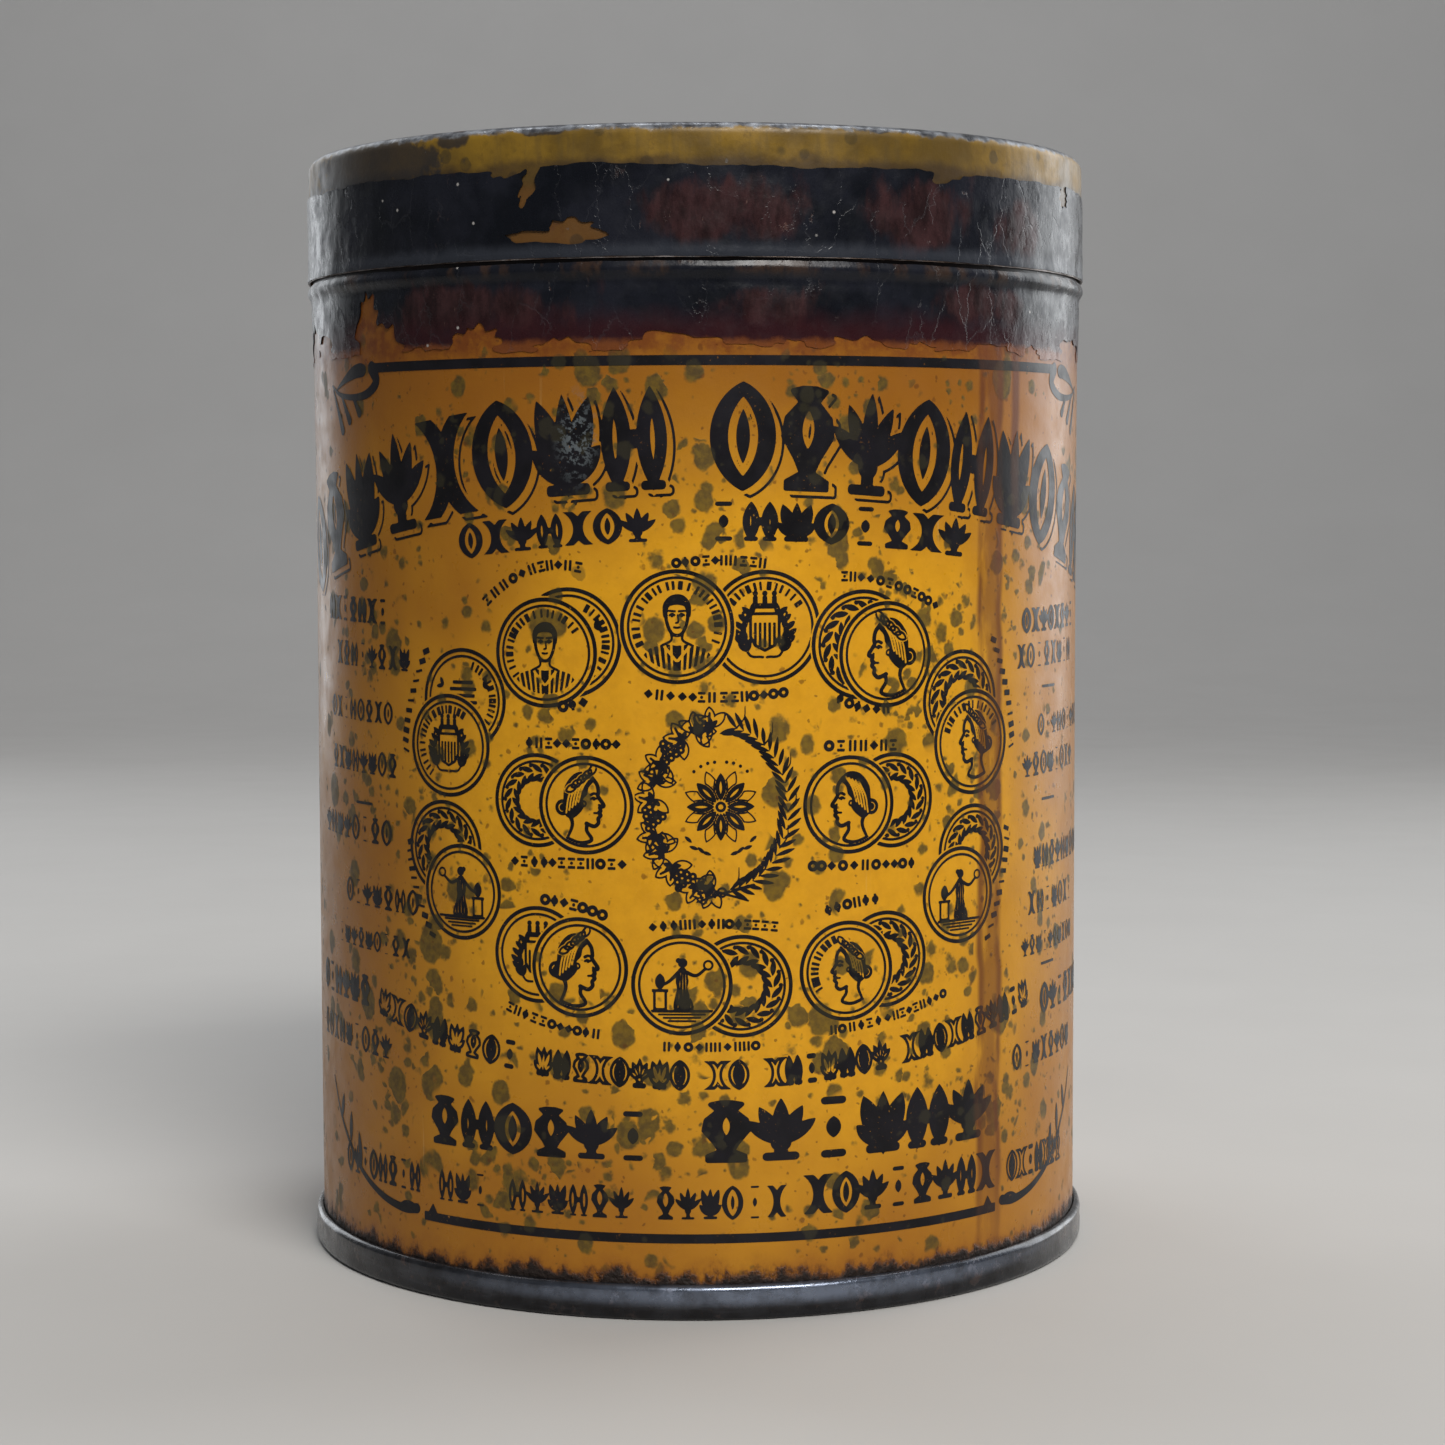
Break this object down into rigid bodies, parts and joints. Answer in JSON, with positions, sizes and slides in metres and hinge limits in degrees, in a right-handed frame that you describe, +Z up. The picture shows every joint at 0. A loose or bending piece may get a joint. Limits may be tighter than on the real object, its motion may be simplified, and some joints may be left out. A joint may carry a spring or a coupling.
{
  "type": "lidded round tin",
  "caption": "Round tinplate canister with a slip-over lid, double-seamed base and the remains of a paper sealing strip round the joint.",
  "frame": {"origin": "centre of the circle that the tin stands on, at the foot of the base rim", "axes": "+Z up the tin's axis towards the lid, +Y towards the lock seam at the back, -Y towards the front of the print"},
  "size_m": [0.101, 0.101, 0.139],
  "materials": {
    "printed_tin": "aged satin varnish over yellow and black printing, spotted and rubbed",
    "solder": "dull solder",
    "darkened_tin": "dark oxidised tinplate with a satin sheen",
    "gasket": "dry brown fibre",
    "strip": "cracked black varnished paper",
    "painted_tin": "olive varnish, worn to bare tin round the edge"
  },
  "bodies": {
    "tin_body": {"body_wall": "printed_tin", "side_seam_solder": "solder", "base_end": "darkened_tin", "seam_gasket": "gasket", "seal_strip_lower": "strip"},
    "lid": {"lid": "painted_tin", "seal_strip_upper": "strip"}
  },
  "joints": [
    {"name": "lid_lift", "type": "slide", "parent": "tin_body", "child": "lid", "axis": [0, 0, 1], "range_m": [0, 0.04]}
  ]
}
